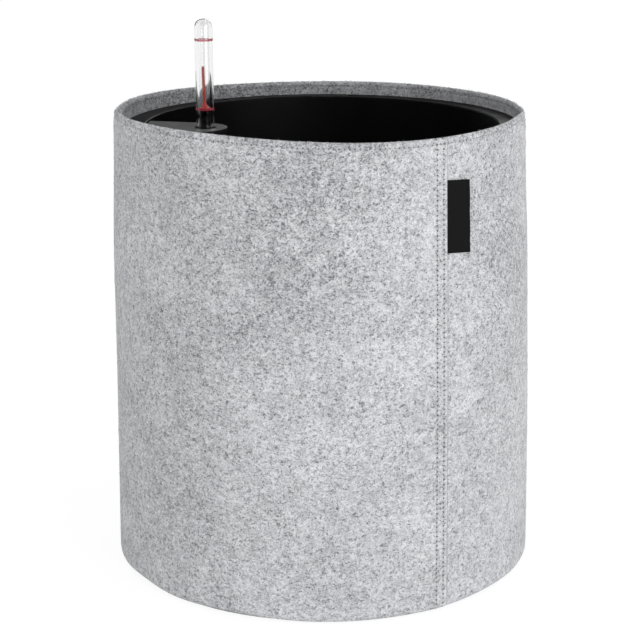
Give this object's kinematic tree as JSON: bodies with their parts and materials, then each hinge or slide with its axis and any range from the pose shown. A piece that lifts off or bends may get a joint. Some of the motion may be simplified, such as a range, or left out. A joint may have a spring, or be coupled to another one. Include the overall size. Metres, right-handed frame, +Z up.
{
  "type": "cover pot",
  "caption": "Round felt cover pot with a lift-out planting liner, carrying handles, a filler shaft with lid and a clear water level indicator tube.",
  "frame": {"origin": "middle of the felt base, on the surface that the pot stands on", "axes": "+Z up along the pot's axis, -Y to the front, with the indicator tube to the left of the front and the seam to the right"},
  "size_m": [0.326, 0.326, 0.419],
  "materials": {
    "felt": "heather grey felt",
    "tag": "woven black tag",
    "liner": "satin black",
    "insert": "matte black",
    "lid": "satin black",
    "seal": "matte rubber",
    "handle": "satin black",
    "clear": "clear",
    "mark": "red gloss",
    "bob": "satin black",
    "foam": "closed-cell foam"
  },
  "bodies": {
    "cover": {"felt_wall": "felt", "felt_facing": "felt", "felt_base": "felt", "seam_tag": "tag"},
    "planting_liner": {"liner": "liner", "filler_shaft": "insert"},
    "soil_separator": {"separator": "insert"},
    "filler_lid": {"shaft_lid": "lid"},
    "plug": {"drain_plug": "insert", "drain_seal": "seal"},
    "front_carrier": {"front_handle": "handle", "front_handle_stops": "handle"},
    "rear_carrier": {"rear_handle": "handle", "rear_handle_stops": "handle"},
    "indicator": {"indicator_tube": "clear", "max_ring": "mark", "min_ring": "mark", "indicator_foot": "insert"},
    "level_float": {"needle": "mark", "needle_bob": "bob", "float_rod": "bob", "float": "foam"}
  },
  "joints": [
    {"name": "liner_lift", "type": "slide", "parent": "cover", "child": "planting_liner", "axis": [0, 0, 1], "range_m": [0, 0.36]},
    {"name": "separator_lift", "type": "slide", "parent": "planting_liner", "child": "soil_separator", "axis": [0, 0, 1], "range_m": [0, 0.33]},
    {"name": "lid_lift", "type": "slide", "parent": "planting_liner", "child": "filler_lid", "axis": [0, 0, 1], "range_m": [0, 0.1]},
    {"name": "plug_lift", "type": "slide", "parent": "planting_liner", "child": "plug", "axis": [0, 0, 1], "range_m": [0, 0.03]},
    {"name": "front_handle_lift", "type": "slide", "parent": "planting_liner", "child": "front_carrier", "axis": [0, 0, 1], "range_m": [0, 0.054]},
    {"name": "rear_handle_lift", "type": "slide", "parent": "planting_liner", "child": "rear_carrier", "axis": [0, 0, 1], "range_m": [0, 0.054]},
    {"name": "indicator_lift", "type": "slide", "parent": "planting_liner", "child": "indicator", "axis": [0, 0, 1], "range_m": [0, 0.33]},
    {"name": "float_rise", "type": "slide", "parent": "indicator", "child": "level_float", "axis": [0, 0, 1], "range_m": [0, 0.032]}
  ]
}
